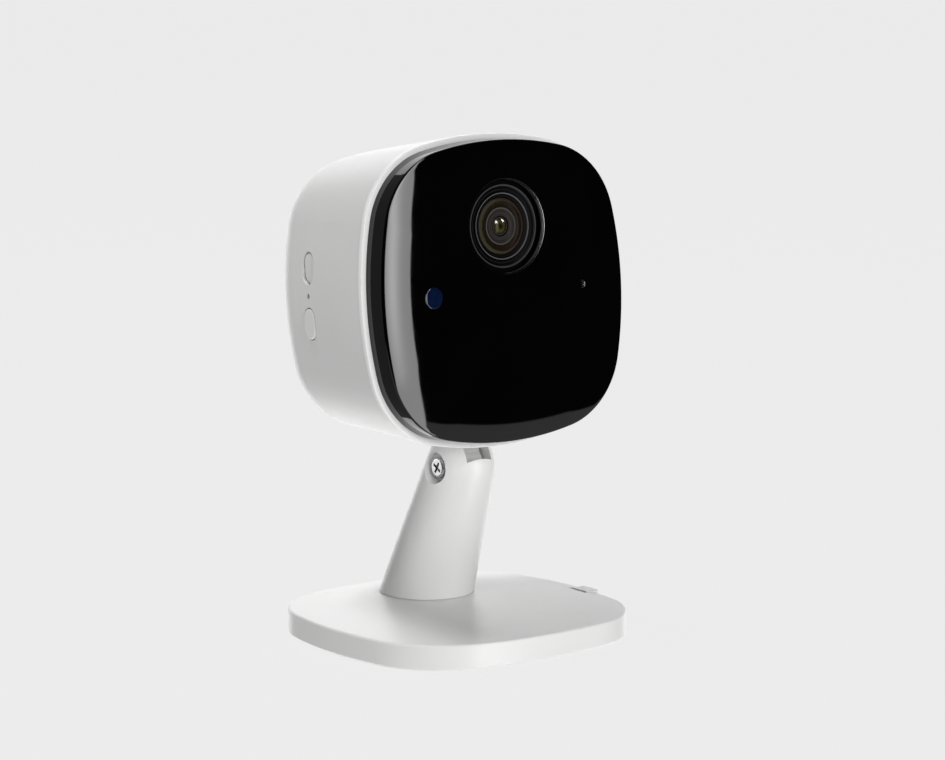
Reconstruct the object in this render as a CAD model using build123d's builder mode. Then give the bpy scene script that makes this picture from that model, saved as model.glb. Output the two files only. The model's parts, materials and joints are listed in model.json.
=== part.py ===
from build123d import *
import os
from math import asin, atan2, cos, degrees, radians, sin, sqrt

# Compact indoor security camera: a rounded square head that tilts on a leaning round stem, which
# swivels on a rounded square foot. Millimetres, +Z up, the lens looks towards -Y. The origin is the
# centre of the foot's underside. The head is modelled in its rest pose, pitched slightly upwards.

# ------------------------------------------------------------------ driving dimensions: the foot
base_half_x = 31.1
base_half_y = 29.6
base_corner_r = 18.3
base_bow = 1.0
base_wall = 2.2
pad_thickness = 0.5
plate_gap = 0.1
wall_plate_thickness = 1.1
bottom_plate_thickness = 1.0
ballast_thickness = 1.0
cavity_top = 3.9
base_edge_z = 5.5
seat_z = 7.1
seat_r = 9.7
base_screw_x = 20.5
base_screw_y = 19.0
base_screw_r = 0.9
base_screw_head_r = 1.9
wall_hole_r = 2.0
wall_hole_spacing = 36.0
tab_y = -3.6
tab_width = 5.0
tab_travel = 0.4
tab_gap = 0.2
tab_notch = 6.0
edge_round = 0.5
edge_chamfer = 0.35
screw_hole_gap = 0.2
boss_r = 2.6
bush_wall = 1.6
bush_flange_r = 7.2
wall_head_r = 3.8
swivel_washer_r = 6.2

# ------------------------------------------------------------------ driving dimensions: the stem
pan_y = 10.2
foot_z = seat_z + 0.1
foot_r = 9.66
stem_wall = 2.1
hollow_below_pivot = 9.5
pivot_y = -1.4
pivot_z = 34.7
dome_r = 6.9
slot_half = 3.0
pivot_screw_r = 1.25
swivel_bore_r = 4.0
swivel_screw_r = 1.25
swivel_head_r = 2.5
swivel_head_height = 1.0
washer_thickness = 0.4
washer_r = 3.3
lug_ball_r = 3.9
lug_width = 5.8
lug_flange_thickness = 2.0
running_gap = 0.05

# ------------------------------------------------------------------ driving dimensions: the head
rest_pitch = 4.4
pitch_up_travel = 20.0
pitch_down_travel = 50.0
rim_forward = 12.0
rim_up = 35.1
head_half = 30.6
head_corner_r = 17.9
head_bow = 1.24
head_depth = 38.5
head_draft = 3.3
head_wall = 2.0
rear_round = 13.4
rim_width = 1.0
cover_gap = 0.1
cover_foot = 1.5
cover_front = 6.5
cover_draft = 0.2
cover_dome_r = 320.0
cover_round = 0.6
cover_wall = 1.6
pocket_r = 7.3
pocket_wall = 1.9
pilot_r = 0.85
self_tapper_r = 0.84
screw_clear_r = 1.1
small_head_height = 1.0

# ------------------------------------------------------------------ driving dimensions: head insides
lens_up = 12.6
lens_hole_r = 9.05
barrel_r = 6.4
glass_r = 5.5
sensor_x = -18.1
sensor_hole_r = 2.15
mic_x = 18.0
mic_hole_r = 0.7
main_board_half = 23.5
main_board_f = -10.0
board_thickness = 1.2
button_f = -20.5
sync_up = -4.9
power_up = 6.0
reset_up = 0.55
button_depth = 3.8
button_height = 6.1
button_gap = 0.2
button_travel = 0.4
sync_proud = 0.1
power_recess = 0.7
usb_up = -12.0
speaker_up = 4.0
speaker_r = 9.0

# ------------------------------------------------------------------ placing planes
forward = Vector(0, -cos(radians(rest_pitch)), sin(radians(rest_pitch)))
head_up = Vector(0, sin(radians(rest_pitch)), cos(radians(rest_pitch)))
pivot = Vector(0, pivot_y, pivot_z)
rim_centre = pivot + forward * rim_forward + head_up * rim_up
FRONT = Plane(origin=rim_centre, x_dir=(1, 0, 0), z_dir=forward)
FORWARD_AXIS = Axis(rim_centre, forward)


def head_point(x, up, f):
    """Point at x to the right, up above the rim centre and f in front of the rim plane."""
    return rim_centre + Vector(x, 0, 0) + head_up * up + forward * f


def side_plane(x, up, f):
    """Plane on the head's left side: its normal points to -X, its local x forwards, its y up."""
    return Plane(origin=head_point(x, up, f), x_dir=forward, z_dir=(-1, 0, 0))


def level_plane(x, up, f):
    """Plane parallel to the head's underside, its normal along the head's own up."""
    return Plane(origin=head_point(x, up, f), x_dir=(1, 0, 0), z_dir=head_up)


class BowedRectangle(BaseSketchObject):
    """Rounded rectangle whose four sides bow outwards, as arcs tangent to its corner arcs."""

    def __init__(self, half_x, half_y, corner_r, bow, rotation=0, align=None, mode=Mode.ADD):
        cx = half_x - bow - corner_r
        cy = half_y - bow - corner_r
        reach = (corner_r + bow) ** 2 - corner_r**2
        side_rx = (cy**2 + reach) / (2 * bow)
        side_ry = (cx**2 + reach) / (2 * bow)
        sweep_x = degrees(atan2(cy, cx - (half_x - side_rx)))
        sweep_y = degrees(atan2(cx, cy - (half_y - side_ry)))
        turn = 90 - sweep_x - sweep_y
        with BuildSketch() as outline:
            with BuildLine():
                CenterArc((half_x - side_rx, 0), side_rx, -sweep_x, 2 * sweep_x)
                CenterArc((cx, cy), corner_r, sweep_x, turn)
                CenterArc((0, half_y - side_ry), side_ry, 90 - sweep_y, 2 * sweep_y)
                CenterArc((-cx, cy), corner_r, 90 + sweep_y, turn)
                CenterArc((side_rx - half_x, 0), side_rx, 180 - sweep_x, 2 * sweep_x)
                CenterArc((-cx, -cy), corner_r, 180 + sweep_x, turn)
                CenterArc((0, side_ry - half_y), side_ry, 270 - sweep_y, 2 * sweep_y)
                CenterArc((cx, -cy), corner_r, 270 + sweep_y, turn)
            make_face()
        super().__init__(outline.sketch, rotation, align, mode)


def base_outline(inset, mode=Mode.ADD):
    """The foot's outline, moved inwards by inset."""
    return BowedRectangle(
        base_half_x - inset, base_half_y - inset, base_corner_r - inset, base_bow, mode=mode
    )


def head_outline(half, mode=Mode.ADD):
    """The head's outline at the given half width."""
    return BowedRectangle(half, half, head_corner_r - (head_half - half), head_bow, mode=mode)


def cross_recess(length, width=0.5):
    """Outline of a cross recess for a screwdriver."""
    Rectangle(length, width)
    Rectangle(width, length)


parts = []


def finish(builder, name):
    """Label a finished piece and keep it for export."""
    builder.part.label = name
    parts.append(builder.part)


# ================================================================== the foot
wall_plate_z = pad_thickness
bottom_plate_z = wall_plate_z + wall_plate_thickness + plate_gap
ballast_z = bottom_plate_z + bottom_plate_thickness + plate_gap
screw_spots = [(x, y) for x in (-base_screw_x, base_screw_x) for y in (-base_screw_y, base_screw_y)]
wall_spots = [(-wall_hole_spacing / 2, 0), (wall_hole_spacing / 2, 0)]
tab_inner_x = base_half_x - base_wall - tab_gap

with BuildPart() as base_cover:
    with BuildSketch(Plane.XY.offset(pad_thickness)):
        base_outline(0)
    extrude(amount=base_edge_z - pad_thickness)
    with BuildSketch(Plane.XY.offset(base_edge_z)):
        base_outline(0)
    with BuildSketch(Plane.XY.offset(seat_z)):
        with Locations((0, pan_y)):
            Circle(seat_r)
    loft(ruled=True)
    fillet(edges().filter_by_position(Axis.Z, base_edge_z - 0.01, base_edge_z + 0.01), radius=edge_round)
    chamfer(faces().sort_by(Axis.Z)[0].edges(), length=edge_chamfer)
    with BuildSketch(Plane.XY.offset(pad_thickness)):
        base_outline(base_wall)
    extrude(amount=cavity_top - pad_thickness, mode=Mode.SUBTRACT)
    with BuildSketch(Plane.XY.offset(ballast_z)):
        with Locations(screw_spots):
            Circle(boss_r)
    extrude(amount=cavity_top - ballast_z)
    with BuildSketch(Plane.XY.offset(ballast_z)):
        with Locations(screw_spots):
            Circle(base_screw_r + running_gap)
    extrude(amount=2.0, mode=Mode.SUBTRACT)
    with BuildSketch(Plane.XY.offset(cavity_top)):
        with Locations((0, pan_y)):
            Circle(swivel_bore_r + bush_wall)
    extrude(amount=seat_z, mode=Mode.SUBTRACT)
    with BuildSketch(Plane.XY.offset(bottom_plate_z)):
        with Locations((tab_inner_x - tab_travel - tab_gap, tab_y)):
            Rectangle(2 * base_wall + 2, tab_width + 0.5, align=(Align.MIN, Align.CENTER))
    extrude(amount=seat_z, mode=Mode.SUBTRACT)
finish(base_cover, "base_cover")

with BuildPart() as wall_plate:
    with BuildSketch(Plane.XY.offset(wall_plate_z)):
        base_outline(base_wall + 0.1)
        with Locations(wall_spots):
            Circle(wall_hole_r, mode=Mode.SUBTRACT)
    extrude(amount=wall_plate_thickness)
finish(wall_plate, "wall_plate")

with BuildPart() as anti_slip_pad:
    with BuildSketch():
        base_outline(base_wall + 1.2)
        with Locations(wall_spots):
            Circle(wall_hole_r + 2.5, mode=Mode.SUBTRACT)
    extrude(amount=pad_thickness)
finish(anti_slip_pad, "anti_slip_pad")

with BuildPart() as bottom_plate:
    with BuildSketch(Plane.XY.offset(bottom_plate_z)):
        base_outline(base_wall + 0.1)
        with Locations(wall_spots):
            Circle(wall_head_r, mode=Mode.SUBTRACT)
        with Locations((0, pan_y)):
            Circle(bush_flange_r + 0.4, mode=Mode.SUBTRACT)
        with Locations(screw_spots):
            Circle(base_screw_r + screw_hole_gap, mode=Mode.SUBTRACT)
        with Locations((tab_inner_x - tab_travel - 0.5, tab_y)):
            Rectangle(tab_notch, tab_width + 1, align=(Align.MIN, Align.CENTER), mode=Mode.SUBTRACT)
    extrude(amount=bottom_plate_thickness)
    # countersinks for the four screws
    with BuildSketch(Plane.XY.offset(bottom_plate_z)):
        with Locations(screw_spots):
            Circle(base_screw_head_r + 0.1)
    extrude(amount=base_screw_head_r - base_screw_r, taper=45, mode=Mode.SUBTRACT)
finish(bottom_plate, "bottom_plate")

with BuildPart() as ballast_plate:
    with BuildSketch(Plane.XY.offset(ballast_z)):
        base_outline(base_wall + 1.0)
        with Locations(wall_spots):
            Circle(wall_head_r, mode=Mode.SUBTRACT)
        with Locations((0, pan_y)):
            Circle(bush_flange_r + 1.2, mode=Mode.SUBTRACT)
        with Locations(screw_spots):
            Circle(boss_r + 0.3, mode=Mode.SUBTRACT)
        with Locations((tab_inner_x - tab_travel - 0.5, tab_y)):
            Rectangle(tab_notch, tab_width + 1, align=(Align.MIN, Align.CENTER), mode=Mode.SUBTRACT)
    extrude(amount=ballast_thickness)
finish(ballast_plate, "ballast_plate")

with BuildPart() as base_screws:
    with BuildSketch(Plane.XY.offset(bottom_plate_z)):
        with Locations(screw_spots):
            Circle(base_screw_head_r)
    extrude(amount=base_screw_head_r - base_screw_r, taper=45)
    with BuildSketch(Plane.XY.offset(bottom_plate_z + 0.5)):
        with Locations(screw_spots):
            Circle(base_screw_r)
    extrude(amount=2.5)
    with BuildSketch(Plane.XY.offset(bottom_plate_z)):
        with Locations(screw_spots):
            cross_recess(2.2)
    extrude(amount=0.6, mode=Mode.SUBTRACT)
finish(base_screws, "base_screws")

with BuildPart() as release_tab:
    with BuildSketch(Plane.XY.offset(bottom_plate_z + 0.2)):
        with Locations((tab_inner_x, tab_y)):
            Rectangle(base_wall + 1.1, tab_width, align=(Align.MIN, Align.CENTER))
    extrude(amount=base_edge_z + 0.3 - bottom_plate_z - 0.2)
    fillet(edges().filter_by(Axis.Z).sort_by(Axis.X)[-2:], radius=0.6)
    fillet(faces().sort_by(Axis.Z)[-1].edges().sort_by(Axis.X)[-1], radius=0.4)
finish(release_tab, "release_tab")

with BuildPart() as swivel_bush:
    with BuildSketch(Plane.XY.offset(cavity_top - 0.5)):
        with Locations((0, pan_y)):
            Circle(bush_flange_r)
    extrude(amount=0.5)
    with BuildSketch(Plane.XY.offset(cavity_top)):
        with Locations((0, pan_y)):
            Circle(swivel_bore_r + bush_wall)
    extrude(amount=seat_z - cavity_top - 0.1)
    with BuildSketch(Plane.XY):
        with Locations((0, pan_y)):
            Circle(swivel_bore_r)
    extrude(amount=seat_z + 1, mode=Mode.SUBTRACT)
finish(swivel_bush, "swivel_bush")

# ================================================================== the stem
swivel_bottom_z = cavity_top - 0.6
swivel_washer_thickness = 0.5
swivel_head_z = swivel_bottom_z - swivel_washer_thickness
foot_hub_top = foot_z + 2.2

# the stem is a leaning cone, tangent to a ball round the tilt pivot
foot_centre = Vector(0, pan_y, foot_z)
stem_axis = (pivot - foot_centre).normalized()
stem_length = (pivot - foot_centre).length
cone_half_angle = asin((foot_r - dome_r) / stem_length)
STEM = Plane(origin=pivot, x_dir=(1, 0, 0), z_dir=stem_axis)

with BuildPart() as stem:
    with BuildSketch(Plane.XY.offset(foot_z)):
        with Locations((0, pan_y)):
            Circle(foot_r)
    with BuildSketch(STEM.offset(dome_r * sin(cone_half_angle))):
        Circle(dome_r * cos(cone_half_angle))
    loft(ruled=True)
    with Locations(pivot):
        Sphere(dome_r)
    with BuildSketch(Plane.XY.offset(foot_hub_top)):
        with Locations((0, pan_y + (pivot_y - pan_y) * (foot_hub_top - foot_z) / (pivot_z - foot_z))):
            Circle(foot_r - stem_wall - 0.2)
    with BuildSketch(STEM.offset(-hollow_below_pivot)):
        Circle(dome_r - stem_wall + 0.6)
    loft(ruled=True, mode=Mode.SUBTRACT)
    with BuildSketch(Plane.XY.offset(foot_z)):
        with Locations((0, pan_y)):
            Circle(foot_r - stem_wall)
    extrude(amount=foot_hub_top - foot_z + 0.1, mode=Mode.SUBTRACT)
    # slot in which the head's lug swings, open to the top, the front and the back
    with BuildSketch(Plane.YZ):
        with Locations((pivot_y, pivot_z)):
            Circle(4.3)
        for lean in range(int(-pitch_up_travel), int(pitch_down_travel) + 1, 10):
            with Locations(Location((pivot_y, pivot_z), 90 - rest_pitch + lean)):
                Rectangle(14, 6.3, align=(Align.MIN, Align.CENTER))
    extrude(amount=slot_half, both=True, mode=Mode.SUBTRACT)
    with BuildSketch(Plane.YZ.offset(-dome_r - 1)):
        with Locations((pivot_y, pivot_z)):
            Circle(3.1)
    extrude(amount=dome_r + 1 - 4.6, mode=Mode.SUBTRACT)
    with BuildSketch(Plane.YZ.offset(4.4)):
        with Locations((pivot_y, pivot_z)):
            RegularPolygon(2.95, 6)
    extrude(amount=dome_r, mode=Mode.SUBTRACT)
    with BuildSketch(Plane.YZ.offset(-dome_r)):
        with Locations((pivot_y, pivot_z)):
            Circle(pivot_screw_r + 0.1)
    extrude(amount=2 * dome_r, mode=Mode.SUBTRACT)
finish(stem, "stem")

with BuildPart() as stem_hub:
    with BuildSketch(Plane.XY.offset(foot_z)):
        with Locations((0, pan_y)):
            Circle(foot_r - stem_wall - 0.03)
    extrude(amount=foot_hub_top - foot_z)
    with BuildSketch(Plane.XY.offset(swivel_bottom_z)):
        with Locations((0, pan_y)):
            Circle(swivel_bore_r - running_gap)
    extrude(amount=foot_z - swivel_bottom_z)
    with BuildSketch(Plane.XY.offset(swivel_bottom_z)):
        with Locations((0, pan_y)):
            Circle(swivel_screw_r + running_gap)
    extrude(amount=foot_hub_top, mode=Mode.SUBTRACT)
finish(stem_hub, "stem_hub")

with BuildPart() as swivel_washer:
    with BuildSketch(Plane.XY.offset(swivel_head_z)):
        with Locations((0, pan_y)):
            Circle(swivel_washer_r)
            Circle(swivel_screw_r + 0.15, mode=Mode.SUBTRACT)
    extrude(amount=swivel_washer_thickness)
finish(swivel_washer, "swivel_washer")

with BuildPart() as swivel_screw:
    with BuildSketch(Plane.XY.offset(swivel_head_z - swivel_head_height)):
        with Locations((0, pan_y)):
            Circle(swivel_head_r)
    extrude(amount=swivel_head_height)
    with BuildSketch(Plane.XY.offset(swivel_head_z)):
        with Locations((0, pan_y)):
            Circle(swivel_screw_r)
    extrude(amount=6.0)
    with BuildSketch(Plane.XY.offset(swivel_head_z - swivel_head_height)):
        with Locations((0, pan_y)):
            cross_recess(2.8)
    extrude(amount=0.7, mode=Mode.SUBTRACT)
finish(swivel_screw, "swivel_screw")

# ---- pivot hardware, along the X axis through the pivot
screw_seat_x = -4.6
screw_head_height = 1.4
nut_seat_x = 4.4
nut_height = 1.9

with BuildPart() as pivot_screw:
    with BuildSketch(Plane.YZ.offset(screw_seat_x - screw_head_height)):
        with Locations((pivot_y, pivot_z)):
            Circle(2.1)
    extrude(amount=screw_head_height)
    fillet(faces().sort_by(Axis.X)[0].edges(), radius=0.5)
    with BuildSketch(Plane.YZ.offset(screw_seat_x)):
        with Locations((pivot_y, pivot_z)):
            Circle(pivot_screw_r)
    extrude(amount=nut_seat_x + nut_height - screw_seat_x)
    with BuildSketch(Plane.YZ.offset(screw_seat_x - screw_head_height)):
        with Locations(Location((pivot_y, pivot_z), 30)):
            cross_recess(2.5, 0.55)
    extrude(amount=0.8, mode=Mode.SUBTRACT)
finish(pivot_screw, "pivot_screw")

with BuildPart() as pivot_nut:
    with BuildSketch(Plane.YZ.offset(nut_seat_x)):
        with Locations((pivot_y, pivot_z)):
            RegularPolygon(2.85, 6)
            Circle(pivot_screw_r, mode=Mode.SUBTRACT)
    extrude(amount=nut_height)
    chamfer(edges().filter_by(GeomType.LINE).sort_by(Axis.X)[-6:], length=0.25)
finish(pivot_nut, "pivot_nut")

for side, name in ((-1, "friction_washer_left"), (1, "friction_washer_right")):
    with BuildPart() as friction_washer:
        with BuildSketch(Plane.YZ.offset(side * slot_half)):
            with Locations((pivot_y, pivot_z)):
                Circle(washer_r)
                Circle(pivot_screw_r + 0.05, mode=Mode.SUBTRACT)
        extrude(amount=-side * washer_thickness)
    finish(friction_washer, name)

# ================================================================== the head: shells
floor_up = -(head_half - head_draft * rim_forward / head_depth)


def head_half_at(f):
    """Half width of the housing's outside at f, which is negative behind the rim plane."""
    return head_half + head_draft * f / head_depth


# hollow of the housing, used only as a cutting tool
with BuildPart() as housing_core:
    for f in (0, head_wall - head_depth):
        with BuildSketch(FRONT.offset(f)):
            head_outline(head_half_at(f) - head_wall)
    loft(ruled=True)
    fillet(housing_core.faces().sort_by(FORWARD_AXIS)[0].edges(), radius=rear_round - head_wall)

# the housing's solid outer shape, which also trims the pocket's wall
with BuildPart() as housing_blank:
    for f in (0, -head_depth):
        with BuildSketch(FRONT.offset(f)):
            head_outline(head_half_at(f))
    loft(ruled=True)
    fillet(housing_blank.faces().sort_by(FORWARD_AXIS)[0].edges(), radius=rear_round)

lug_post_x = 6.6
lug_flange_up = pocket_r + pocket_wall + 0.1 - rim_up
corner_post = 20.4
post_r = 3.0
frame_post_r = 1.9
post_f = -8.0

with BuildPart() as pocket_blank:
    with Locations(pivot):
        Sphere(pocket_r + pocket_wall)
    with BuildSketch(level_plane(0, floor_up + 0.5, -rim_forward)):
        with Locations((-lug_post_x, 0), (lug_post_x, 0)):
            Circle(2.4)
    extrude(amount=lug_flange_up - floor_up - 0.5)
    add(housing_blank.part, mode=Mode.INTERSECT)

with BuildPart() as housing:
    add(housing_blank.part)
    fillet(housing.faces().sort_by(FORWARD_AXIS)[-1].edges(), radius=0.3)
    add(housing_core.part, mode=Mode.SUBTRACT)
    with BuildSketch(FRONT):
        head_outline(head_half - rim_width)
    extrude(amount=-cover_foot - cover_gap, mode=Mode.SUBTRACT)
    add(pocket_blank.part)
    # ball-shaped pocket round the stem's top, and the way through it for the lug
    with Locations(pivot):
        Sphere(pocket_r, mode=Mode.SUBTRACT)
    with BuildSketch(level_plane(0, floor_up - 3, -rim_forward)):
        Rectangle(5.2, 6.0)
    extrude(amount=lug_flange_up - floor_up + 4, mode=Mode.SUBTRACT)
    with BuildSketch(level_plane(0, floor_up + 1.2, -rim_forward)):
        with Locations((-lug_post_x, 0), (lug_post_x, 0)):
            Circle(pilot_r)
    extrude(amount=lug_flange_up - floor_up, mode=Mode.SUBTRACT)
    # four posts that take the front frame's screws
    with BuildSketch(FRONT.offset(post_f)):
        with GridLocations(2 * corner_post, 2 * corner_post, 2, 2):
            Circle(post_r)
    extrude(amount=-8)
    with BuildSketch(FRONT.offset(post_f)):
        with GridLocations(2 * corner_post, 2 * corner_post, 2, 2):
            Circle(pilot_r)
    extrude(amount=-6, mode=Mode.SUBTRACT)
    # side openings: the sync button, the power button and the reset pinhole
    for up in (sync_up, power_up):
        with BuildSketch(side_plane(-head_half - 1, up, button_f)):
            SlotOverall(button_height + 2 * button_gap, button_depth + 2 * button_gap, rotation=90)
        extrude(amount=-head_wall - 5, mode=Mode.SUBTRACT)
    with BuildSketch(side_plane(-head_half - 1, reset_up, button_f)):
        Circle(0.55)
    extrude(amount=-head_wall - 5, mode=Mode.SUBTRACT)
    # rear openings: the power inlet and the speaker's holes
    with BuildSketch(FRONT.offset(-head_depth - 1)):
        with Locations((0, usb_up)):
            RectangleRounded(7.9, 3.0, 0.8)
    extrude(amount=head_wall + 2, mode=Mode.SUBTRACT)
    with BuildSketch(FRONT.offset(-head_depth - 1)):
        with Locations((0, speaker_up)):
            Circle(0.6)
            for ring in (1, 2, 3):
                with PolarLocations(2.3 * ring, 6 * ring):
                    Circle(0.6)
    extrude(amount=head_wall + 2, mode=Mode.SUBTRACT)
finish(housing, "housing")


def cover_half_at(f):
    """Half width of the black cover's side, which leans inwards towards the front."""
    return head_half - rim_width - cover_gap - max(f, 0) * cover_draft / cover_front


# hollow behind the black cover, used only as a cutting tool
with BuildPart() as cover_core:
    for f in (-cover_foot - 1, cover_front - cover_wall - 0.6):
        with BuildSketch(FRONT.offset(f)):
            head_outline(cover_half_at(f) - cover_wall)
    loft(ruled=True)

with BuildPart() as front_cover:
    with BuildSketch(FRONT.offset(-cover_foot)):
        head_outline(cover_half_at(0))
    extrude(amount=cover_foot)
    for f in (0, cover_front + 1):
        with BuildSketch(FRONT.offset(f)):
            head_outline(cover_half_at(f))
    loft(ruled=True)
    with Locations(head_point(0, 0, cover_front - cover_dome_r)):
        Sphere(cover_dome_r, mode=Mode.INTERSECT)
    fillet(front_cover.faces().sort_by(FORWARD_AXIS)[-1].edges(), radius=cover_round)
    add(cover_core.part, mode=Mode.SUBTRACT)
    with BuildSketch(FRONT.offset(-cover_foot)):
        with Locations((0, lens_up)):
            Circle(lens_hole_r)
        with Locations((sensor_x, 0)):
            Circle(sensor_hole_r)
        with Locations((mic_x, 0)):
            Circle(mic_hole_r)
    extrude(amount=cover_front + 3, mode=Mode.SUBTRACT)
finish(front_cover, "front_cover")

# ================================================================== the head: chassis and boards
frame_f = -2.2
frame_half = head_half - head_wall - 0.6
frame_thickness = 1.6

with BuildPart() as front_frame:
    with BuildSketch(FRONT.offset(frame_f)):
        head_outline(frame_half - 0.2)
        head_outline(frame_half - 3.4, mode=Mode.SUBTRACT)
        with GridLocations(2 * corner_post, 2 * corner_post, 2, 2):
            Circle(frame_post_r)
        with Locations((0, lens_up)):
            Rectangle(2 * frame_half - 4, 3)
            Circle(barrel_r + 2.2)
    extrude(amount=-frame_thickness)
    with BuildSketch(FRONT.offset(frame_f)):
        with Locations((0, lens_up)):
            Circle(barrel_r + 0.3)
        with GridLocations(2 * corner_post, 2 * corner_post, 2, 2):
            Circle(screw_clear_r)
    extrude(amount=-frame_thickness, mode=Mode.SUBTRACT)
    with BuildSketch(FRONT.offset(frame_f - frame_thickness)):
        with GridLocations(2 * corner_post, 2 * corner_post, 2, 2):
            Circle(frame_post_r)
            Circle(screw_clear_r, mode=Mode.SUBTRACT)
    extrude(amount=post_f - frame_f + frame_thickness)
finish(front_frame, "front_frame")

with BuildPart() as frame_screws:
    with BuildSketch(FRONT.offset(frame_f)):
        with GridLocations(2 * corner_post, 2 * corner_post, 2, 2):
            Circle(frame_post_r)
    extrude(amount=small_head_height)
    with BuildSketch(FRONT.offset(frame_f)):
        with GridLocations(2 * corner_post, 2 * corner_post, 2, 2):
            Circle(self_tapper_r)
    extrude(amount=-10.5)
    with BuildSketch(FRONT.offset(frame_f + small_head_height)):
        with GridLocations(2 * corner_post, 2 * corner_post, 2, 2):
            cross_recess(2.2)
    extrude(amount=-0.6, mode=Mode.SUBTRACT)
finish(frame_screws, "frame_screws")

# light and microphone board, just behind the black cover
led_board_f = -0.6
led_height = 1.6
boot_f = led_board_f + 1.1
led_spots = [(-11.5, -8), (-4, -11), (4, -11), (11.5, -8)]

with BuildPart() as led_board:
    with BuildSketch(FRONT.offset(led_board_f)):
        with Locations((0, -4)):
            RectangleRounded(44, 24, 4)
        with Locations((0, lens_up)):
            Circle(lens_hole_r + 0.5, mode=Mode.SUBTRACT)
    extrude(amount=-1.0)
finish(led_board, "led_board")

with BuildPart() as infrared_leds:
    with BuildSketch(FRONT.offset(led_board_f)):
        with Locations(led_spots):
            Rectangle(3.2, 3.2)
    extrude(amount=led_height)
    with BuildSketch(FRONT.offset(led_board_f + led_height)):
        with Locations(led_spots):
            Circle(1.4)
    extrude(amount=0.9, taper=20)
finish(infrared_leds, "infrared_leds")

with BuildPart() as light_sensor:
    with BuildSketch(FRONT.offset(led_board_f)):
        with Locations((sensor_x, 0)):
            RectangleRounded(2.4, 2.4, 0.3)
    extrude(amount=1.2)
finish(light_sensor, "light_sensor")

with BuildPart() as light_sensor_window:
    with BuildSketch(FRONT.offset(led_board_f + led_height)):
        with Locations((sensor_x, 0)):
            Circle(sensor_hole_r - 0.05)
    extrude(amount=cover_front - 1.8)
    fillet(light_sensor_window.faces().sort_by(FORWARD_AXIS)[-1].edges(), radius=0.4)
finish(light_sensor_window, "light_sensor_window")

with BuildPart() as microphone:
    with BuildSketch(FRONT.offset(led_board_f)):
        with Locations((mic_x, 0)):
            RectangleRounded(3.0, 3.6, 0.3)
    extrude(amount=1.1)
finish(microphone, "microphone")

with BuildPart() as microphone_boot:
    with BuildSketch(FRONT.offset(boot_f)):
        with Locations((mic_x, 0)):
            Circle(2.4)
            Circle(mic_hole_r, mode=Mode.SUBTRACT)
    extrude(amount=cover_front - cover_wall - 1.2 - boot_f)
finish(microphone_boot, "microphone_boot")

with BuildPart() as main_board:
    with BuildSketch(FRONT.offset(main_board_f)):
        head_outline(main_board_half)
        with GridLocations(2 * corner_post, 2 * corner_post, 2, 2):
            Circle(post_r + 0.4, mode=Mode.SUBTRACT)
        with Locations((0, -main_board_half)):
            Rectangle(22, 5, mode=Mode.SUBTRACT)
    extrude(amount=-board_thickness)
finish(main_board, "main_board")

shield_f = main_board_f - board_thickness
shield_height = 2.0
pad_f = shield_f - shield_height
heat_plate_f = pad_f - 1.0

with BuildPart() as processor_shield:
    with BuildSketch(FRONT.offset(shield_f)):
        with Locations((0, -8)):
            RectangleRounded(20, 16, 0.8)
    extrude(amount=-shield_height)
    offset(amount=-0.3, openings=processor_shield.faces().sort_by(FORWARD_AXIS)[-1])
finish(processor_shield, "processor_shield")

with BuildPart() as thermal_pad:
    with BuildSketch(FRONT.offset(pad_f)):
        with Locations((0, -8)):
            RectangleRounded(16, 12, 0.5)
    extrude(amount=heat_plate_f - pad_f)
finish(thermal_pad, "thermal_pad")

with BuildPart() as heat_plate:
    with BuildSketch(FRONT.offset(heat_plate_f)):
        with Locations((0, -2)):
            RectangleRounded(38, 32, 3)
    extrude(amount=-1.0)
    with BuildSketch(FRONT.offset(heat_plate_f)):
        with Locations((0, -2)):
            with GridLocations(5, 0, 6, 1):
                SlotOverall(24, 2, rotation=90)
    extrude(amount=-0.5, mode=Mode.SUBTRACT)
finish(heat_plate, "heat_plate")

# ================================================================== the head: lens
LENS = Plane(origin=head_point(0, lens_up, 0), x_dir=(1, 0, 0), z_dir=forward)


def lens_ring(outer, inner, f, length):
    """Ring on the lens axis from f forwards, to be made inside a part's own block."""
    with BuildSketch(LENS.offset(f)) as ring:
        Circle(outer)
        Circle(inner, mode=Mode.SUBTRACT)
    extrude(ring.sketch, amount=length)


with BuildPart() as image_sensor:
    with BuildSketch(LENS.offset(main_board_f)):
        RectangleRounded(7.2, 6.4, 0.3)
    extrude(amount=1.0)
finish(image_sensor, "image_sensor")

with BuildPart() as lens_holder:
    with BuildSketch(LENS.offset(main_board_f)):
        RectangleRounded(16, 16, 1.5)
        RectangleRounded(10, 10, 0.5, mode=Mode.SUBTRACT)
    extrude(amount=2.6)
    lens_ring(8.0, 4.6, main_board_f + 2.6, 0.9)
    lens_ring(8.0, barrel_r + 0.05, main_board_f + 3.5, 2.5)
finish(lens_holder, "lens_holder")

with BuildPart() as infrared_filter:
    with BuildSketch(LENS.offset(main_board_f + 1.8)):
        RectangleRounded(8, 8, 0.3)
    extrude(amount=0.5)
finish(infrared_filter, "infrared_filter")

barrel_f = main_board_f + 3.6
barrel_front = 5.0
with BuildPart() as lens_barrel:
    lens_ring(barrel_r, glass_r + 0.05, barrel_f, barrel_front - barrel_f)
    lens_ring(glass_r + 0.1, 3.2, barrel_f, 0.8)
    chamfer(
        lens_barrel.faces().sort_by(FORWARD_AXIS)[-1].edges().sort_by(SortBy.RADIUS)[0], length=0.4
    )
finish(lens_barrel, "lens_barrel")


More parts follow.
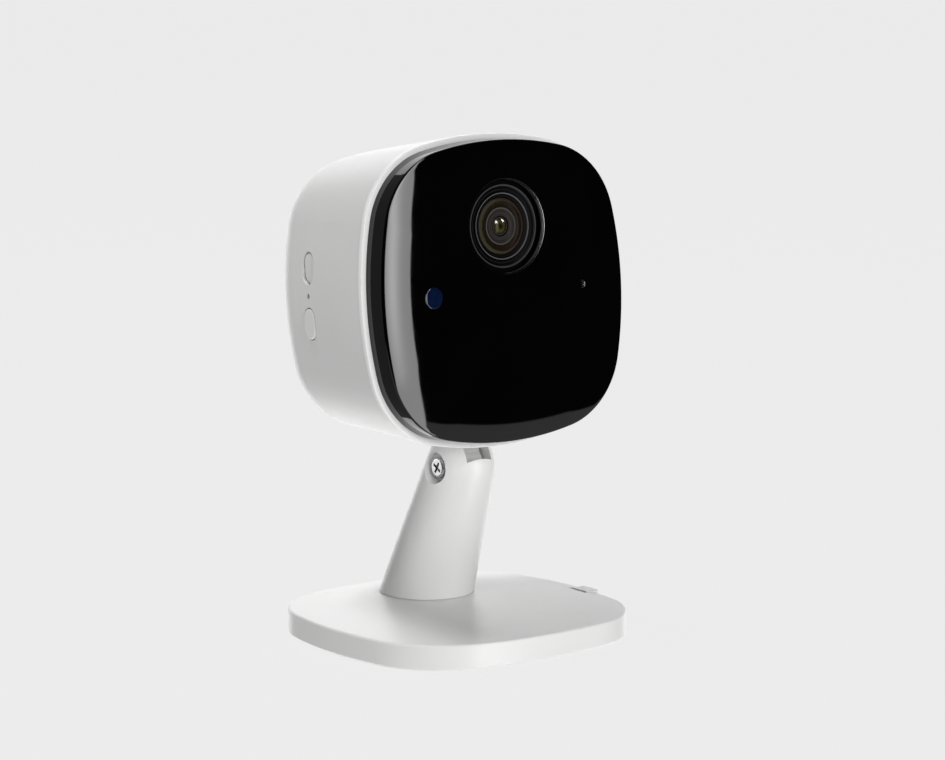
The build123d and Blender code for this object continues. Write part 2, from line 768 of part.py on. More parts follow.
def lens_element(radius, f, edge, front_r, back_r, name):
    """Meniscus lens element: its rim is edge long, and its two faces are ball-shaped."""
    with BuildPart() as element:
        with BuildSketch(LENS.offset(f)):
            Circle(radius)
        extrude(amount=edge + 3)
        with Locations(head_point(0, lens_up, f + edge + sag(radius, front_r) - front_r)):
            Sphere(front_r, mode=Mode.INTERSECT)
        with Locations(head_point(0, lens_up, f + sag(radius, back_r) - back_r)):
            Sphere(back_r, mode=Mode.SUBTRACT)
    finish(element, name)


def sag(radius, ball_r):
    """Height of a ball's cap whose rim has this radius."""
    return ball_r - sqrt(ball_r**2 - radius**2)


lens_element(glass_r, 2.6, 0.6, 9.0, 14.0, "front_lens")
lens_element(4.6, 0.2, 0.8, 8.0, 12.0, "middle_lens")
lens_element(3.6, -3.6, 0.8, 7.0, 12.0, "rear_lens")

with BuildPart() as front_spacer:
    lens_ring(glass_r, 4.65, 0.0, 2.5)
    lens_ring(4.7, 3.7, 1.9, 0.6)
finish(front_spacer, "front_spacer")

with BuildPart() as rear_spacer:
    lens_ring(glass_r, 3.65, barrel_f + 0.85, -0.05 - barrel_f - 0.85)
    lens_ring(3.7, 2.2, -1.6, 1.4)
finish(rear_spacer, "rear_spacer")

with BuildPart() as lens_bezel:
    lens_ring(lens_hole_r - 0.05, barrel_r + 0.1, 3.6, 1.9)
    with BuildSketch(LENS.offset(5.5)):
        Circle(8.2)
    extrude(amount=-0.8, taper=35, mode=Mode.SUBTRACT)
finish(lens_bezel, "lens_bezel")

# ================================================================== the head: side controls
side_x = -head_half_at(button_f)
flange_x = side_x + head_wall + 0.9
flange_thickness = 0.7
nub_length = 0.7
plunger_gap = button_travel + 0.05
switch_x = flange_x + flange_thickness + nub_length + plunger_gap
switch_body = 1.4
switch_plunger = 0.25
button_board_x = switch_x + switch_plunger + switch_body

buttons = [(sync_up, side_x - sync_proud, "sync_button"), (power_up, side_x + power_recess, "power_button")]
for up, outer_x, name in buttons:
    with BuildPart() as button:
        with BuildSketch(side_plane(flange_x, up, button_f)):
            SlotOverall(button_height, button_depth, rotation=90)
        extrude(amount=flange_x - outer_x)
        fillet(button.faces().sort_by(Axis.X)[0].edges(), radius=0.5)
        with BuildSketch(side_plane(flange_x + flange_thickness, up, button_f)):
            SlotOverall(button_height + 1.2, button_depth + 1.2, rotation=90)
        extrude(amount=flange_thickness)
        with BuildSketch(side_plane(flange_x + flange_thickness + nub_length, up, button_f)):
            Circle(0.8)
        extrude(amount=nub_length)
    finish(button, name)

with BuildPart() as button_board:
    with BuildSketch(side_plane(button_board_x, 0.5, button_f)):
        RectangleRounded(9, 20, 0.8)
    extrude(amount=-1.0)
finish(button_board, "button_board")

for up, name in ((sync_up, "sync_switch"), (power_up, "power_switch"), (reset_up, "reset_switch")):
    size = 2.4 if name == "reset_switch" else 3.4
    with BuildPart() as switch:
        with BuildSketch(side_plane(button_board_x, up, button_f)):
            RectangleRounded(size, size, 0.3)
        extrude(amount=switch_body)
        with BuildSketch(side_plane(switch_x + switch_plunger, up, button_f)):
            Circle(0.7)
        extrude(amount=switch_plunger)
    finish(switch, name)

# ================================================================== the head: rear
rear_wall_f = head_wall - head_depth
rear_board_f = -30.5
inlet_f = 0.4 - head_depth
inlet_depth = 6.0
speaker_f = rear_wall_f + 1.0
speaker_body = 3.0
speaker_rim = 1.2
speaker_recess = 1.0

with BuildPart() as usb_socket:
    with BuildSketch(FRONT.offset(rear_board_f)):
        with Locations((0, usb_up)):
            RectangleRounded(7.5, 2.6, 0.7)
    extrude(amount=inlet_f - rear_board_f)
    with BuildSketch(FRONT.offset(inlet_f)):
        with Locations((0, usb_up)):
            RectangleRounded(6.9, 2.0, 0.5)
    extrude(amount=inlet_depth, mode=Mode.SUBTRACT)
finish(usb_socket, "usb_socket")

with BuildPart() as usb_tongue:
    with BuildSketch(FRONT.offset(inlet_f + inlet_depth)):
        with Locations((0, usb_up + 0.25)):
            Rectangle(5.2, 0.6)
    extrude(amount=-4.6)
finish(usb_tongue, "usb_tongue")

with BuildPart() as rear_board:
    with BuildSketch(FRONT.offset(rear_board_f)):
        with Locations((0, usb_up)):
            RectangleRounded(22, 12, 1)
    extrude(amount=board_thickness)
finish(rear_board, "rear_board")

with BuildPart() as speaker:
    with BuildSketch(FRONT.offset(speaker_f)):
        with Locations((0, speaker_up)):
            Circle(speaker_r)
    extrude(amount=speaker_body)
    with BuildSketch(FRONT.offset(speaker_f + speaker_body)):
        with Locations((0, speaker_up)):
            Circle(speaker_r - 2.5)
    extrude(amount=2.2)
    with BuildSketch(FRONT.offset(speaker_f)):
        with Locations((0, speaker_up)):
            Circle(speaker_r - speaker_rim)
    extrude(amount=speaker_recess, mode=Mode.SUBTRACT)
finish(speaker, "speaker")

with BuildPart() as speaker_cone:
    with BuildSketch(FRONT.offset(speaker_f + speaker_recess)):
        with Locations((0, speaker_up)):
            Circle(speaker_r - speaker_rim - running_gap)
    extrude(amount=-0.5, taper=50)
finish(speaker_cone, "speaker_cone")

with BuildPart() as speaker_gasket:
    with BuildSketch(FRONT.offset(rear_wall_f)):
        with Locations((0, speaker_up)):
            Circle(speaker_r)
            Circle(speaker_r - speaker_rim, mode=Mode.SUBTRACT)
    extrude(amount=speaker_f - rear_wall_f)
finish(speaker_gasket, "speaker_gasket")

with BuildPart() as wifi_antenna:
    with BuildSketch(level_plane(0, 24.2, -21.0)):
        RectangleRounded(24, 9, 1)
    extrude(amount=0.4)
finish(wifi_antenna, "wifi_antenna")

# ================================================================== the head: tilt lug
with BuildPart() as tilt_lug:
    with BuildSketch(Plane.YZ):
        with Locations((pivot_y, pivot_z)):
            Circle(lug_ball_r)
        with Locations(Location((pivot_y, pivot_z), 90 - rest_pitch)):
            Rectangle(lug_flange_up + rim_up + 0.5, lug_width, align=(Align.MIN, Align.CENTER))
    extrude(amount=slot_half - washer_thickness - 0.1, both=True)
    with BuildSketch(level_plane(0, lug_flange_up, -rim_forward)):
        RectangleRounded(18.4, 8.4, 1.5)
    extrude(amount=lug_flange_thickness)
    with BuildSketch(level_plane(0, lug_flange_up, -rim_forward)):
        with Locations((-lug_post_x, 0), (lug_post_x, 0)):
            Circle(screw_clear_r)
    extrude(amount=lug_flange_thickness, mode=Mode.SUBTRACT)
    with BuildSketch(Plane.YZ):
        with Locations((pivot_y, pivot_z)):
            Circle(pivot_screw_r + running_gap)
    extrude(amount=slot_half, both=True, mode=Mode.SUBTRACT)
finish(tilt_lug, "tilt_lug")

with BuildPart() as lug_screws:
    with BuildSketch(level_plane(0, lug_flange_up + lug_flange_thickness, -rim_forward)):
        with Locations((-lug_post_x, 0), (lug_post_x, 0)):
            Circle(1.8)
    extrude(amount=small_head_height)
    with BuildSketch(level_plane(0, lug_flange_up + lug_flange_thickness, -rim_forward)):
        with Locations((-lug_post_x, 0), (lug_post_x, 0)):
            Circle(self_tapper_r)
    extrude(amount=-4.2)
finish(lug_screws, "lug_screws")

# ================================================================== export
os.makedirs("parts", exist_ok=True)
for part in parts:
    export_step(part, f"parts/{part.label}.step")
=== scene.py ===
"""Looks of the indoor security camera: materials, detailed shells, studio light and the camera view.

Metres, +Z up, the lens looks towards -Y. The origin is the centre of the foot's underside.
"""

import json
import math

import bpy
from mathutils import Matrix, Vector
from mathutils.bvhtree import BVHTree
from mathutils.interpolate import poly_3d_calc


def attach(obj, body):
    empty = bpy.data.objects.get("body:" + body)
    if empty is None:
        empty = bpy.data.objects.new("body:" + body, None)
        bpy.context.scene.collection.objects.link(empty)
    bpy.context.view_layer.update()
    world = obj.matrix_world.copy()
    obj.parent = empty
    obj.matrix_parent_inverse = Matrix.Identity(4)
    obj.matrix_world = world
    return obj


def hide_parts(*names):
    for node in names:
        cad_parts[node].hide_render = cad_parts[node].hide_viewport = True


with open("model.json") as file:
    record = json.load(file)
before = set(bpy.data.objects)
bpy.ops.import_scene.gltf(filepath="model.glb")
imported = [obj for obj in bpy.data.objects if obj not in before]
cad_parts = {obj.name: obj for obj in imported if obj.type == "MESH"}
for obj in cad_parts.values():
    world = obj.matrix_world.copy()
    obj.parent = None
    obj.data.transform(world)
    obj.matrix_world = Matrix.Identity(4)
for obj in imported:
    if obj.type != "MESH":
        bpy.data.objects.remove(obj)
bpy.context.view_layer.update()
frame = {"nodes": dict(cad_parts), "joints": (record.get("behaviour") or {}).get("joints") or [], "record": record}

MM = 0.001
nodes = frame["nodes"]
joints = {joint["name"]: joint for joint in frame["joints"]}

# ------------------------------------------------------------------ the head's own directions
inlet = next(mount for mount in frame["record"]["mounts"] if mount["name"] == "usb_inlet")
FORWARD = -Vector(inlet["axis"])
HEAD_UP = FORWARD.cross(Vector((1, 0, 0)))
PIVOT = Vector(joints["tilt"]["pos_m"])
RIM_FORWARD = 12.0
RIM_UP = 35.1
RIM_CENTRE = PIVOT + FORWARD * RIM_FORWARD * MM + HEAD_UP * RIM_UP * MM


# ------------------------------------------------------------------ material helpers
def new_material(name):
    """A material with a Principled shader: returns the material, its node tree and the shader."""
    material = bpy.data.materials.new(name)
    material.use_nodes = True
    tree = material.node_tree
    return material, tree, tree.nodes["Principled BSDF"]


def object_noise(tree, scale, detail=2.0, stretch=(1, 1, 1)):
    """Noise in the piece's own coordinates, scale in cells per metre."""
    place = tree.nodes.new("ShaderNodeTexCoord")
    mapping = tree.nodes.new("ShaderNodeMapping")
    mapping.inputs["Scale"].default_value = stretch
    noise = tree.nodes.new("ShaderNodeTexNoise")
    noise.inputs["Scale"].default_value = scale
    noise.inputs["Detail"].default_value = detail
    tree.links.new(place.outputs["Object"], mapping.inputs["Vector"])
    tree.links.new(mapping.outputs["Vector"], noise.inputs["Vector"])
    return noise.outputs["Fac"]


def spread(tree, value, low, high):
    """Maps noise, which lies mostly between 0.3 and 0.7, to the span from low to high."""
    span = tree.nodes.new("ShaderNodeMapRange")
    span.inputs["From Min"].default_value = 0.3
    span.inputs["From Max"].default_value = 0.7
    span.inputs["To Min"].default_value = low
    span.inputs["To Max"].default_value = high
    tree.links.new(value, span.inputs["Value"])
    return span.outputs["Result"]


def tint(tree, value, dark, light):
    """Mixes two colours by a value."""
    mix = tree.nodes.new("ShaderNodeMix")
    mix.data_type = "RGBA"
    mix.inputs["A"].default_value = (*dark, 1)
    mix.inputs["B"].default_value = (*light, 1)
    tree.links.new(value, mix.inputs["Factor"])
    return mix.outputs["Result"]


def bump(tree, shader, height, distance):
    """Surface relief from a height value, distance in metres."""
    node = tree.nodes.new("ShaderNodeBump")
    node.inputs["Distance"].default_value = distance
    node.inputs["Strength"].default_value = 1.0
    tree.links.new(height, node.inputs["Height"])
    tree.links.new(node.outputs["Normal"], shader.inputs["Normal"])


def moulded_plastic(name, dark, light, roughness, grain=5200, relief=0.000004):
    """Moulded plastic: faint colour drift, spark-eroded grain and uneven gloss."""
    material, tree, shader = new_material(name)
    drift = object_noise(tree, 45)
    tree.links.new(tint(tree, spread(tree, drift, 0, 1), dark, light), shader.inputs["Base Color"])
    gloss = object_noise(tree, 700, 4)
    tree.links.new(spread(tree, gloss, *roughness), shader.inputs["Roughness"])
    bump(tree, shader, object_noise(tree, grain, 3), relief)
    return material


def plated_metal(name, dark, light, roughness, grain=3000, stretch=(1, 1, 1)):
    """Metal with a fine brushed or plated grain."""
    material, tree, shader = new_material(name)
    shader.inputs["Metallic"].default_value = 1.0
    cloud = object_noise(tree, 900, 3, stretch)
    tree.links.new(tint(tree, spread(tree, cloud, 0, 1), dark, light), shader.inputs["Base Color"])
    tree.links.new(spread(tree, cloud, *roughness), shader.inputs["Roughness"])
    bump(tree, shader, object_noise(tree, grain, 2, stretch), 0.000004)
    return material


# ------------------------------------------------------------------ materials by slot
def white_plastic():
    return moulded_plastic("white_plastic", (0.80, 0.80, 0.795), (0.83, 0.83, 0.825), (0.30, 0.40))


def grey_plastic():
    return moulded_plastic("grey_plastic", (0.62, 0.62, 0.61), (0.67, 0.67, 0.66), (0.42, 0.55))


def pad_rubber():
    dark, light = (0.02, 0.02, 0.02), (0.035, 0.035, 0.035)
    return moulded_plastic("pad_rubber", dark, light, (0.7, 0.85), 2600, 0.00002)


def black_plastic():
    return moulded_plastic("black_plastic", (0.008, 0.008, 0.009), (0.014, 0.014, 0.015), (0.28, 0.38))


def gloss_black():
    """Polished black cover: nearly mirror-smooth, with faint flow lines."""
    material, tree, shader = new_material("gloss_black")
    drift = object_noise(tree, 60)
    colour = tint(tree, spread(tree, drift, 0, 1), (0.0008, 0.0008, 0.0009), (0.0014, 0.0013, 0.0015))
    tree.links.new(colour, shader.inputs["Base Color"])
    tree.links.new(spread(tree, object_noise(tree, 300, 3), 0.025, 0.05), shader.inputs["Roughness"])
    bump(tree, shader, object_noise(tree, 70, 1), 0.000002)
    return material


def window_blue():
    material, tree, shader = new_material("window_blue")
    drift = object_noise(tree, 900)
    colour = tint(tree, spread(tree, drift, 0, 1), (0.002, 0.005, 0.02), (0.003, 0.008, 0.034))
    tree.links.new(colour, shader.inputs["Base Color"])
    tree.links.new(spread(tree, object_noise(tree, 2500, 2), 0.04, 0.1), shader.inputs["Roughness"])
    return material


def circuit_board():
    """Green solder mask over copper tracks."""
    material, tree, shader = new_material("circuit_board")
    place = tree.nodes.new("ShaderNodeTexCoord")
    tracks = tree.nodes.new("ShaderNodeTexBrick")
    tracks.inputs["Scale"].default_value = 400
    tracks.inputs["Color1"].default_value = (0.01, 0.09, 0.035, 1)
    tracks.inputs["Color2"].default_value = (0.015, 0.12, 0.05, 1)
    tracks.inputs["Mortar"].default_value = (0.03, 0.2, 0.08, 1)
    tree.links.new(place.outputs["Object"], tracks.inputs["Vector"])
    tree.links.new(tracks.outputs["Color"], shader.inputs["Base Color"])
    tree.links.new(spread(tree, object_noise(tree, 1500), 0.25, 0.4), shader.inputs["Roughness"])
    bump(tree, shader, tracks.outputs["Fac"], 0.00002)
    return material


def coated_front():
    """Front element seen from outside: almost clear, with a faint brownish coating."""
    material, tree, shader = new_material("coated_front")
    drift = object_noise(tree, 400)
    colour = tint(tree, spread(tree, drift, 0, 1), (0.02, 0.016, 0.008), (0.03, 0.022, 0.012))
    tree.links.new(colour, shader.inputs["Base Color"])
    tree.links.new(spread(tree, object_noise(tree, 3000), 0.15, 0.25), shader.inputs["Roughness"])
    shader.inputs["Specular IOR Level"].default_value = 0.04
    shader.inputs["Alpha"].default_value = 0.1
    return material


def lens_glass():
    """Clear lens glass, faintly warm."""
    material, tree, shader = new_material("lens_glass")
    shader.inputs["Transmission Weight"].default_value = 1.0
    shader.inputs["IOR"].default_value = 1.04
    shader.inputs["Specular IOR Level"].default_value = 0.0
    drift = object_noise(tree, 500)
    colour = tint(tree, spread(tree, drift, 0, 1), (0.92, 0.88, 0.80), (0.96, 0.93, 0.88))
    tree.links.new(colour, shader.inputs["Base Color"])
    tree.links.new(spread(tree, object_noise(tree, 3000), 0.0, 0.015), shader.inputs["Roughness"])
    return material


SIDE_REFLECTION_REACH = 4.0


def rings_with_painted_light(name, stops, roughness, warm=(1, 1, 1), cool=(1, 1, 1), gloss=0.1):
    """Lens interior: colour by distance from the lens axis in mm, warmer on one side than the other. The lighter
    rings are painted highlights and painted coating reflections, and the side-to-side tint is a painted
    reflection.
    """
    material, tree, shader = new_material(name)
    place = tree.nodes.new("ShaderNodeTexCoord")
    split = tree.nodes.new("ShaderNodeSeparateXYZ")
    tree.links.new(place.outputs["Object"], split.inputs["Vector"])
    flat = tree.nodes.new("ShaderNodeCombineXYZ")
    tree.links.new(split.outputs["X"], flat.inputs["X"])
    tree.links.new(split.outputs["Y"], flat.inputs["Y"])
    distance = tree.nodes.new("ShaderNodeVectorMath")
    distance.operation = "LENGTH"
    tree.links.new(flat.outputs["Vector"], distance.inputs[0])
    scaled = tree.nodes.new("ShaderNodeMapRange")
    scaled.inputs["From Max"].default_value = stops[-1][0] * MM
    tree.links.new(distance.outputs["Value"], scaled.inputs["Value"])
    ramp = tree.nodes.new("ShaderNodeValToRGB")
    elements = ramp.color_ramp.elements
    elements[0].position = 0.0
    elements[0].color = (*stops[0][1], 1)
    elements[1].position = 1.0
    elements[1].color = (*stops[-1][1], 1)
    for at, colour in stops[1:-1]:
        element = elements.new(at / stops[-1][0])
        element.color = (*colour, 1)
    tree.links.new(scaled.outputs["Result"], ramp.inputs["Fac"])
    # Painted reflection: across the lens the colour turns from the first tint on the left to the second on the
    # right.
    across = tree.nodes.new("ShaderNodeMapRange")
    across.inputs["From Min"].default_value = -SIDE_REFLECTION_REACH * MM
    across.inputs["From Max"].default_value = SIDE_REFLECTION_REACH * MM
    tree.links.new(split.outputs["X"], across.inputs["Value"])
    side = tint(tree, across.outputs["Result"], warm, cool)
    tinted = tree.nodes.new("ShaderNodeMix")
    tinted.data_type = "RGBA"
    tinted.blend_type = "MULTIPLY"
    tinted.inputs["Factor"].default_value = 1.0
    tree.links.new(ramp.outputs["Color"], tinted.inputs["A"])
    tree.links.new(side, tinted.inputs["B"])
    tree.links.new(tinted.outputs["Result"], shader.inputs["Base Color"])
    tree.links.new(spread(tree, object_noise(tree, 2500, 3), *roughness), shader.inputs["Roughness"])
    shader.inputs["Specular IOR Level"].default_value = gloss
    return material


def led_lens():
    return moulded_plastic("led_lens", (0.05, 0.045, 0.05), (0.08, 0.07, 0.075), (0.08, 0.16), 1500, 0.000003)


def speaker_film():
    return moulded_plastic("speaker_film", (0.02, 0.02, 0.02), (0.04, 0.04, 0.04), (0.3, 0.5), 2400, 0.00001)


def switch_plastic():
    return moulded_plastic("switch_plastic", (0.03, 0.03, 0.03), (0.05, 0.05, 0.05), (0.35, 0.5))


def sensor_face():
    return moulded_plastic("sensor_face", (0.03, 0.025, 0.05), (0.05, 0.05, 0.09), (0.1, 0.2), 4000, 0.000002)


def steel():
    return plated_metal("steel", (0.52, 0.52, 0.53), (0.68, 0.68, 0.69), (0.22, 0.36))


def spring_steel():
    return plated_metal("spring_steel", (0.38, 0.38, 0.38), (0.5, 0.5, 0.5), (0.28, 0.42))


def tinned_shield():
    return plated_metal("tinned_shield", (0.6, 0.6, 0.6), (0.75, 0.75, 0.75), (0.3, 0.5), 1500)


def heat_aluminium():
    return plated_metal("heat_aluminium", (0.7, 0.7, 0.71), (0.8, 0.8, 0.81), (0.3, 0.45), 2500, (1, 12, 1))


MAKERS = [
    white_plastic, grey_plastic, pad_rubber, black_plastic, gloss_black, window_blue, circuit_board,
    lens_glass, led_lens, speaker_film, switch_plastic, sensor_face, steel, spring_steel,
    tinned_shield, heat_aluminium,
]
MATERIALS = {maker.__name__: maker() for maker in MAKERS}


def paint(piece, slot):
    """Gives a piece one material, named after its slot."""
    if not piece.material_slots:
        piece.data.materials.append(MATERIALS[slot])
    for holder in piece.material_slots:
        holder.material = MATERIALS[slot]


for entry in frame["record"]["subparts"]:
    paint(nodes[entry["node"]], entry["material_slot"])


# ------------------------------------------------------------------ mesh helpers
def head_frame(up=0.0):
    """Placement in the head: x to the right, y up, z forwards, from a point above the rim's centre."""
    turn = Matrix((Vector((1, 0, 0)), HEAD_UP, FORWARD)).transposed().to_4x4()
    return Matrix.Translation(RIM_CENTRE + HEAD_UP * up * MM) @ turn


def add_mesh(name, points, faces, place):
    """A mesh object from points in millimetres, in the given placement."""
    mesh = bpy.data.meshes.new(name)
    mesh.from_pydata([Vector(point) * MM for point in points], [], faces)
    mesh.polygons.foreach_set("use_smooth", [True] * len(mesh.polygons))
    piece = bpy.data.objects.new(name, mesh)
    piece.matrix_world = place
    bpy.context.scene.collection.objects.link(piece)
    return piece


def swept_rings(rings, closed=False):
    """Points and faces of rings joined one to the next; a closed sweep also joins the last to the first."""
    points = [point for ring in rings for point in ring]
    count = len(rings[0])
    faces = []
    for row in range(len(rings) if closed else len(rings) - 1):
        a, b = row * count, (row + 1) % len(rings) * count
        for k in range(count):
            n = (k + 1) % count
            faces.append((a + k, a + n, b + n, b + k))
    return points, faces


def turned(name, profile, place, steps=128, closed=False):
    """A turned piece from a profile of (radius, forward) in millimetres, about its own z axis."""
    rings = []
    for radius, forward in profile:
        angles = [2 * math.pi * k / steps for k in range(steps)]
        rings.append([(radius * math.cos(a), radius * math.sin(a), forward) for a in angles])
    points, faces = swept_rings(rings, closed)
    return add_mesh(name, points, faces, place)


def arc(centre, radius, start, end, steps):
    """Profile points on an arc, angles in degrees."""
    angles = [math.radians(start + (end - start) * k / steps) for k in range(steps + 1)]
    return [(centre[0] + radius * math.cos(a), centre[1] + radius * math.sin(a)) for a in angles]


def belongs(piece, body, slot, *nodes, finish=None):
    """Puts a piece on a body, gives it the finish or else its slot's material, and hides the CAD nodes it stands
    in for.
    """
    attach(piece, body)
    if nodes:
        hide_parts(*nodes)
    piece.data.materials.append(finish or MATERIALS[slot])
    return piece


def crisp(piece, angle=35):
    """Smooth shading that keeps edges sharper than the angle."""
    piece.data.set_sharp_from_angle(angle=math.radians(angle))
    return piece


# ------------------------------------------------------------------ the black cover
def bowed_outline(half, corner_r, bow, per_arc=40):
    """Rounded square whose sides bow outwards, as arcs tangent to its corner arcs."""
    centre = half - bow - corner_r
    reach = (corner_r + bow) ** 2 - corner_r**2
    side_r = (centre**2 + reach) / (2 * bow)
    sweep = math.atan2(centre, centre - (half - side_r))
    quarter = math.pi / 2
    outline = []
    for turn in range(4):
        c, s = round(math.cos(turn * quarter)), round(math.sin(turn * quarter))
        side = ((half - side_r, 0), side_r, -sweep, sweep)
        corner = ((centre, centre), corner_r, sweep, quarter - sweep)
        for middle, radius, start, end in (side, corner):
            for k in range(per_arc):
                a = start + (end - start) * k / per_arc
                x, y = middle[0] + radius * math.cos(a), middle[1] + radius * math.sin(a)
                outline.append((x * c - y * s, x * s + y * c))
    return outline


COVER_HALF = 29.5
COVER_CORNER = 16.8
COVER_BOW = 1.24
COVER_FRONT = 6.5
COVER_SAG = 1.35
COVER_EDGE_R = 0.4
COVER_LEAN = 0.12
COVER_SAG_POWER = 5
COVER_BACK = -1.5
COVER_BACK_BEVEL = 0.3
COVER_BACK_INSET = 1.6
COVER_CAVITY = 3.0
COVER_CAVITY_SHARE = 0.85
WALL_STEPS = 6
FACE_STEPS = 60
FACE_SPACING = 0.85


def cover_outline(inset, forward):
    """The cover's outline, moved inwards by inset, at this distance in front of the rim."""
    ring = bowed_outline(COVER_HALF - inset, COVER_CORNER - inset, COVER_BOW)
    return [(x, y, forward) for x, y in ring]


def front_cover():
    """Pillow-shaped black cover with a crisp edge; the openings for lens, light sensor and microphone are cut into
    it afterwards.
    """
    wall_front = COVER_FRONT - COVER_SAG - COVER_EDGE_R
    wall_back = COVER_BACK + COVER_BACK_BEVEL
    slope = math.degrees(math.atan(COVER_SAG_POWER * COVER_SAG / COVER_HALF))
    rings = [
        cover_outline(COVER_BACK_INSET, COVER_BACK),
        cover_outline(COVER_BACK_BEVEL, COVER_BACK),
        cover_outline(0, wall_back),
    ]
    for k in range(1, WALL_STEPS + 1):
        rise = (wall_front - wall_back) * k / WALL_STEPS
        rings.append(cover_outline(COVER_LEAN * k / WALL_STEPS, wall_back + rise))
    edge = arc((COVER_EDGE_R + COVER_LEAN, wall_front), COVER_EDGE_R, 180, 90 + slope, 10)
    rings += [cover_outline(inset, forward) for inset, forward in edge[1:]]
    last_inset, last_forward = edge[-1]
    outer = cover_outline(last_inset, 0)
    for k in range(1, FACE_STEPS):
        share = (1 - k / FACE_STEPS) ** FACE_SPACING
        drop = COVER_SAG * (1 - share**COVER_SAG_POWER)
        rings.append([(x * share, y * share, last_forward + drop) for x, y, _ in outer])
    points, faces = swept_rings(rings)
    count = len(outer)
    total = len(points)
    faces.append(tuple(range(total - count, total)))
    for k in range(count):
        after = (k + 1) % count
        faces.append((k, after, total + after, total + k))
    faces.append(tuple(range(total + count - 1, total - 1, -1)))
    points += [(x * COVER_CAVITY_SHARE, y * COVER_CAVITY_SHARE, COVER_CAVITY) for x, y, _ in outer]
    return add_mesh("cover_shell", points, faces, head_frame())


SAME_FACE = 0.93


def drill(piece, cutters):
    """Cuts the openings, and keeps the uncut surface's own smooth shading round them."""
    bpy.context.view_layer.update()
    smooth = piece.data.copy()
    for cutter in cutters:
        cut = piece.modifiers.new(cutter.name, "BOOLEAN")
        cut.operation = "DIFFERENCE"
        cut.solver = "EXACT"
        cut.object = cutter
    bpy.context.view_layer.update()
    evaluated = piece.evaluated_get(bpy.context.evaluated_depsgraph_get())
    result = bpy.data.meshes.new_from_object(evaluated)
    piece.modifiers.clear()
    for cutter in cutters:
        bpy.data.objects.remove(cutter)
    corners = [vertex.co for vertex in smooth.vertices]
    normals = [vertex.normal.copy() for vertex in smooth.vertices]
    polygons = [tuple(polygon.vertices) for polygon in smooth.polygons]
    tree = BVHTree.FromPolygons(corners, polygons)
    custom = []
    for polygon in result.polygons:
        for loop in polygon.loop_indices:
            spot = result.vertices[result.loops[loop].vertex_index].co
            near, _, index, _ = tree.find_nearest(spot)
            weights = poly_3d_calc([corners[k] for k in polygons[index]], near)
            blended = Vector((0, 0, 0))
            for weight, k in zip(weights, polygons[index]):
                blended += normals[k] * weight
            blended.normalize()
            same = blended.dot(polygon.normal) > SAME_FACE
            custom.append(blended if same else polygon.normal.copy())
    result.normals_split_custom_set(custom)
    piece.data = result
    return piece


LENS_UP = 12.6
LENS_HOLE_R = 9.05
SENSOR_X = -18.1
SENSOR_R = 2.15
MIC_X = 18.0
MIC_R = 0.7
ROD_BACK, ROD_FRONT = -4, 9


def cutting_rod(name, x, up, radius):
    """Rod that cuts one opening through the cover."""
    place = head_frame(up) @ Matrix.Translation((x * MM, 0, 0))
    rod = turned(name, [(radius, ROD_BACK), (radius, ROD_FRONT)], place, 96)
    count = len(rod.data.vertices) // 2
    points = [tuple(vertex.co / MM) for vertex in rod.data.vertices]
    faces = [tuple(polygon.vertices) for polygon in rod.data.polygons]
    faces += [tuple(range(count - 1, -1, -1)), tuple(range(count, 2 * count))]
    bpy.data.objects.remove(rod)
    return add_mesh(name, points, faces, place)


rods = [
    cutting_rod("lens_rod", 0, LENS_UP, LENS_HOLE_R),
    cutting_rod("sensor_rod", SENSOR_X, 0, SENSOR_R),
    cutting_rod("mic_rod", MIC_X, 0, MIC_R),
]
belongs(drill(front_cover(), rods), "head", "gloss_black", "front_cover")

EDGE_BLACK = moulded_plastic("edge_black", (0.006, 0.006, 0.006), (0.009, 0.009, 0.009), (0.4, 0.48))


def cover_height(x, up):
    """How far the cover's face stands in front of the rim, near its middle."""
    share = max(abs(x), abs(up)) / (COVER_HALF - COVER_LEAN)
    return COVER_FRONT - COVER_SAG * share**COVER_SAG_POWER


EDGE_STEPS = 128
EDGE_PROUD = 0.012
EDGE_TUCK = 0.01
EDGE_DEPTH = 0.6


def opening_edge(name, x, up, radius, width):
    """Bevelled edge of an opening in the cover, which follows the cover's face."""
    outer, inner = [], []
    for k in range(EDGE_STEPS):
        a = 2 * math.pi * k / EDGE_STEPS
        ox, oy = (radius + width) * math.cos(a), (radius + width) * math.sin(a)
        ix, iy = (radius - EDGE_TUCK) * math.cos(a), (radius - EDGE_TUCK) * math.sin(a)
        height = cover_height(x + ox, up + oy)
        outer.append((ox, oy, height + EDGE_PROUD))
        inner.append((ix, iy, height - width))
    low = [(px, py, pz - EDGE_DEPTH) for px, py, pz in inner]
    points, faces = swept_rings([outer, inner, low])
    place = head_frame(up) @ Matrix.Translation((x * MM, 0, 0))
    return crisp(add_mesh(name, points, faces, place))


lens_edge = opening_edge("lens_opening_edge", 0, LENS_UP, LENS_HOLE_R, 0.2)
mic_edge = opening_edge("mic_opening_edge", MIC_X, 0, MIC_R, 0.12)
for edge in (lens_edge, mic_edge):
    belongs(edge, "head", "gloss_black", finish=EDGE_BLACK)


# ------------------------------------------------------------------ the bright rim
def rim_ring():
    """Polished band on the housing's front edge, round the black cover."""
    section = [
        (-0.1, -0.9), (-0.1, 0.0), (0.08, 0.06), (0.95, 0.06), (1.08, -0.02), (1.13, -0.2), (1.12, -0.9),
    ]
    rings = []
    for outset, forward in section:
        ring = bowed_outline(COVER_HALF + outset, COVER_CORNER + outset, COVER_BOW)
        rings.append([(x, y, forward) for x, y in ring])
    points, faces = swept_rings(rings)
    return crisp(add_mesh("housing_rim", points, faces, head_frame()), 25)


